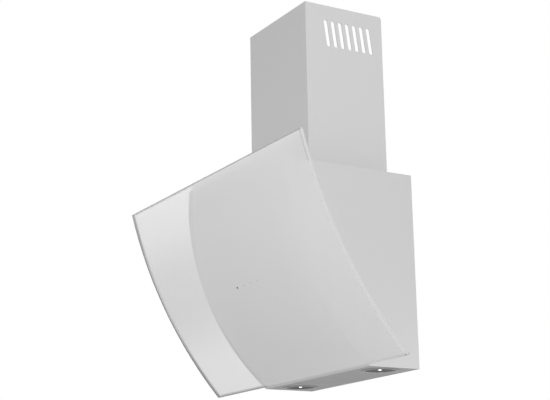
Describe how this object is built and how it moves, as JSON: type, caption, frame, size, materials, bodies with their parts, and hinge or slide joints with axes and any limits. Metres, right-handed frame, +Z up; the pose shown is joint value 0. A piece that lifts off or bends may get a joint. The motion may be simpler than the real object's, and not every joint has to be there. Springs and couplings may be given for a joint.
{
  "type": "range hood",
  "caption": "Wall range hood with a curved glass front that swings up, a slotted chimney cover, filter, blower and two lamps.",
  "frame": {"origin": "on the wall plane, on the hood's centre line, level with the underside of the metal body", "axes": "+Z up, +Y into the wall, the glass front faces -Y, +X to the right of someone facing the hood"},
  "size_m": [0.6, 0.302, 0.6405],
  "materials": {
    "body_steel": "fine satin brushed",
    "zinc_steel": "galvanised",
    "bright_steel": "turned",
    "glass": "gloss, pale grey",
    "control_print": "printed",
    "dark_plastic": "moulded",
    "circuit_board": "lacquered",
    "rubber": "matt",
    "aluminium": "satin",
    "lamp_bezel": "satin",
    "lamp_lens": "frosted",
    "lamp_led": "clear",
    "white_plastic": "moulded"
  },
  "bodies": {
    "hood": {"body_shell": "body_steel", "front_plate": "body_steel", "bottom_panel": "body_steel", "chimney_cover": "body_steel", "back_plate": "zinc_steel", "filter_seat": "zinc_steel", "chimney_guide": "zinc_steel", "chimney_bracket": "zinc_steel", "hinge_leaf_left": "zinc_steel", "hinge_leaf_right": "zinc_steel", "motor_bracket": "zinc_steel", "lamp_clips_left": "zinc_steel", "lamp_clips_right": "zinc_steel", "hinge_pin_left": "bright_steel", "hinge_pin_right": "bright_steel", "flap_pin": "bright_steel", "hinge_screws": "bright_steel", "blower_screws": "bright_steel", "bracket_screws": "bright_steel", "collar_screws": "bright_steel", "hinge_washers": "dark_plastic", "magnet_catch_left": "dark_plastic", "magnet_catch_right": "dark_plastic", "scroll_tub": "dark_plastic", "scroll_cover": "dark_plastic", "capacitor_clip": "dark_plastic", "outlet_collar": "dark_plastic", "control_box": "dark_plastic", "control_lid": "dark_plastic", "cable_gland": "dark_plastic", "control_board": "circuit_board", "glass_bumpers": "rubber", "motor_grommets": "rubber", "filter_frame": "aluminium", "filter_mesh": "aluminium", "motor_can": "aluminium", "lamp_housing_left": "aluminium", "lamp_housing_right": "aluminium", "lamp_bezel_left": "lamp_bezel", "lamp_bezel_right": "lamp_bezel", "lamp_lens_left": "lamp_lens", "lamp_lens_right": "lamp_lens", "lamp_emitter_left": "lamp_led", "lamp_emitter_right": "lamp_led", "capacitor": "white_plastic", "terminal_block": "white_plastic"},
    "glass": {"glass_panel": "glass", "touch_marks": "control_print", "touch_case": "dark_plastic", "touch_board": "circuit_board", "glass_bracket_left": "zinc_steel", "glass_bracket_right": "zinc_steel", "strike_plate_left": "zinc_steel", "strike_plate_right": "zinc_steel"},
    "fan": {"impeller": "dark_plastic", "motor_shaft": "bright_steel"},
    "flap_front": {"flap_front": "dark_plastic"},
    "flap_rear": {"flap_rear": "dark_plastic"},
    "latch": {"filter_latch": "dark_plastic"}
  },
  "joints": [
    {"name": "glass_hinge", "type": "hinge", "parent": "hood", "child": "glass", "pos_m": [0, -0.28041, 0.308], "axis": [-1, 0, 0], "range_deg": [0, 60]},
    {"name": "impeller_spin", "type": "hinge", "parent": "hood", "child": "fan", "pos_m": [-0.043, -0.05, 0.172], "axis": [0, 1, 0], "continuous": true},
    {"name": "flap_front_hinge", "type": "hinge", "parent": "hood", "child": "flap_front", "pos_m": [0, -0.065, 0.3435], "axis": [-1, 0, 0], "range_deg": [0, 75]},
    {"name": "flap_rear_hinge", "type": "hinge", "parent": "hood", "child": "flap_rear", "pos_m": [0, -0.065, 0.3435], "axis": [1, 0, 0], "range_deg": [0, 75]},
    {"name": "filter_latch_slide", "type": "slide", "parent": "hood", "child": "latch", "axis": [0, -0.4828, 0.8757], "range_m": [0, 0.005], "stiffness_N_per_m": 200, "springref_m": -0.006}
  ]
}
